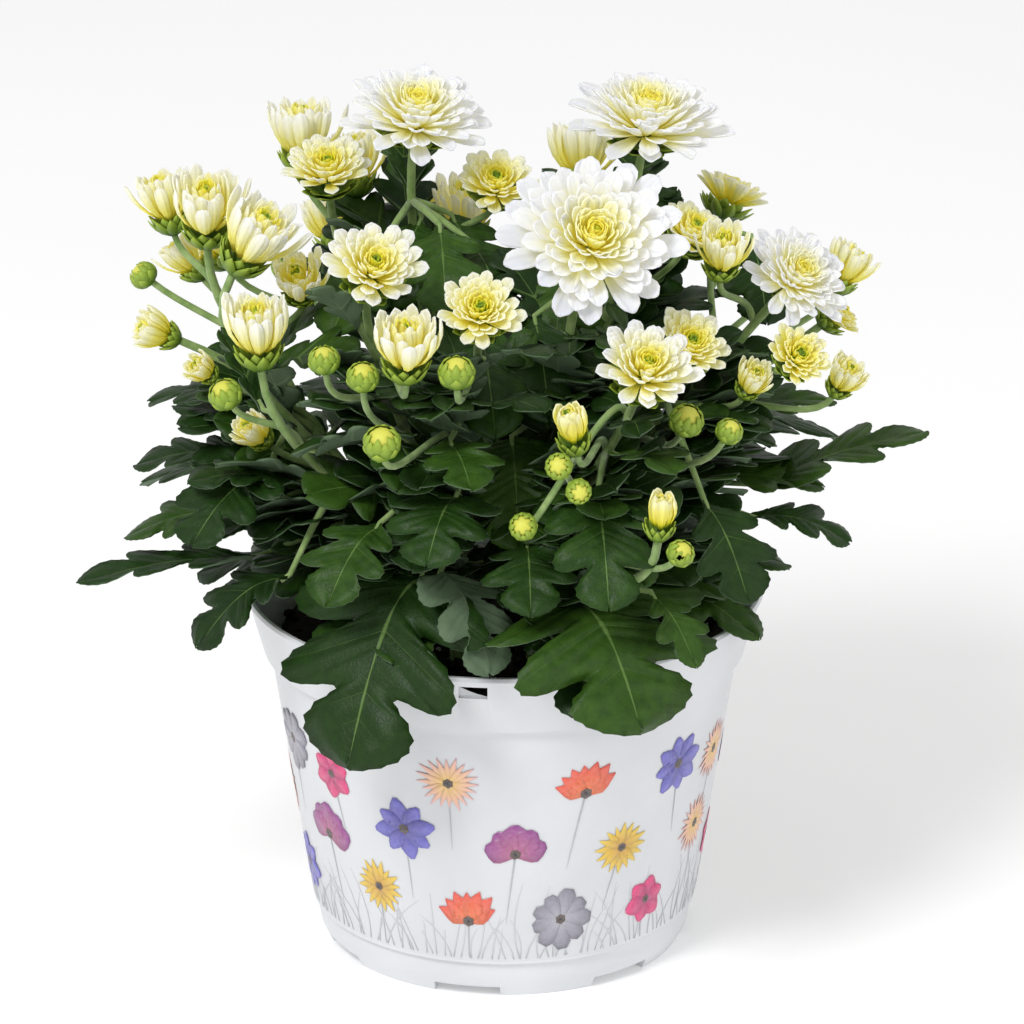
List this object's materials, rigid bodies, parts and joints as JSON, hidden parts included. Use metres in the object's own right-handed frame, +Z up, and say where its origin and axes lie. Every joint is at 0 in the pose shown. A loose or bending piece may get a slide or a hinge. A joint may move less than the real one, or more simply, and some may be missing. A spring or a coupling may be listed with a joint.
{
  "type": "pot chrysanthemum",
  "caption": "Bushy pot chrysanthemum with lobed leaves, green buds and white, yellow-centred double blooms, planted in a tapered, footed plastic pot with a deep rim.",
  "frame": {"origin": "on the surface under the pot's axis, at the centre of the bounding box's bottom", "axes": "+Z up, along the pot's axis; -Y towards the plant's front, with the largest blooms and the rim's label slot; +X to the plant's right seen from the front"},
  "size_m": [0.226, 0.1756, 0.2362],
  "materials": {
    "pot": "satin",
    "soil": "matte crumbs",
    "leaves": "soft leaf sheen",
    "white_petals": "matte",
    "cream_petals": "matte",
    "pale_yellow_petals": "matte",
    "yellow_petals": "matte"
  },
  "bodies": {
    "root": {"pot": "pot", "soil": "soil", "stem_left": "leaves", "stem_front_left": "leaves", "stem_front_right": "leaves", "stem_right": "leaves", "stem_back_right": "leaves", "stem_back_left": "leaves", "open_bloom_1": "white_petals", "open_bloom_2": "white_petals", "open_bloom_3": "white_petals", "open_bloom_4": "white_petals", "half_bloom_1": "cream_petals", "half_bloom_2": "cream_petals", "half_bloom_3": "cream_petals", "half_bloom_4": "cream_petals", "half_bloom_5": "cream_petals", "half_bloom_6": "cream_petals", "half_bloom_7": "cream_petals", "half_bloom_8": "cream_petals", "half_bloom_9": "cream_petals", "half_bloom_10": "cream_petals", "half_bloom_11": "cream_petals", "half_bloom_12": "cream_petals", "half_bloom_13": "cream_petals", "cup_bloom_1": "pale_yellow_petals", "cup_bloom_2": "pale_yellow_petals", "cup_bloom_3": "pale_yellow_petals", "cup_bloom_4": "pale_yellow_petals", "cup_bloom_5": "pale_yellow_petals", "cup_bloom_6": "pale_yellow_petals", "cup_bloom_7": "pale_yellow_petals", "cup_bloom_8": "pale_yellow_petals", "cup_bloom_9": "pale_yellow_petals", "cup_bloom_10": "pale_yellow_petals", "cup_bloom_11": "pale_yellow_petals", "cup_bloom_12": "pale_yellow_petals", "cup_bloom_13": "pale_yellow_petals", "cup_bloom_14": "pale_yellow_petals", "cup_bloom_15": "pale_yellow_petals", "cup_bloom_16": "pale_yellow_petals", "cup_bloom_17": "pale_yellow_petals", "cup_bloom_18": "pale_yellow_petals", "cup_bloom_19": "pale_yellow_petals", "cup_bloom_20": "pale_yellow_petals", "opening_bloom_1": "yellow_petals", "opening_bloom_2": "yellow_petals"}
  },
  "joints": []
}
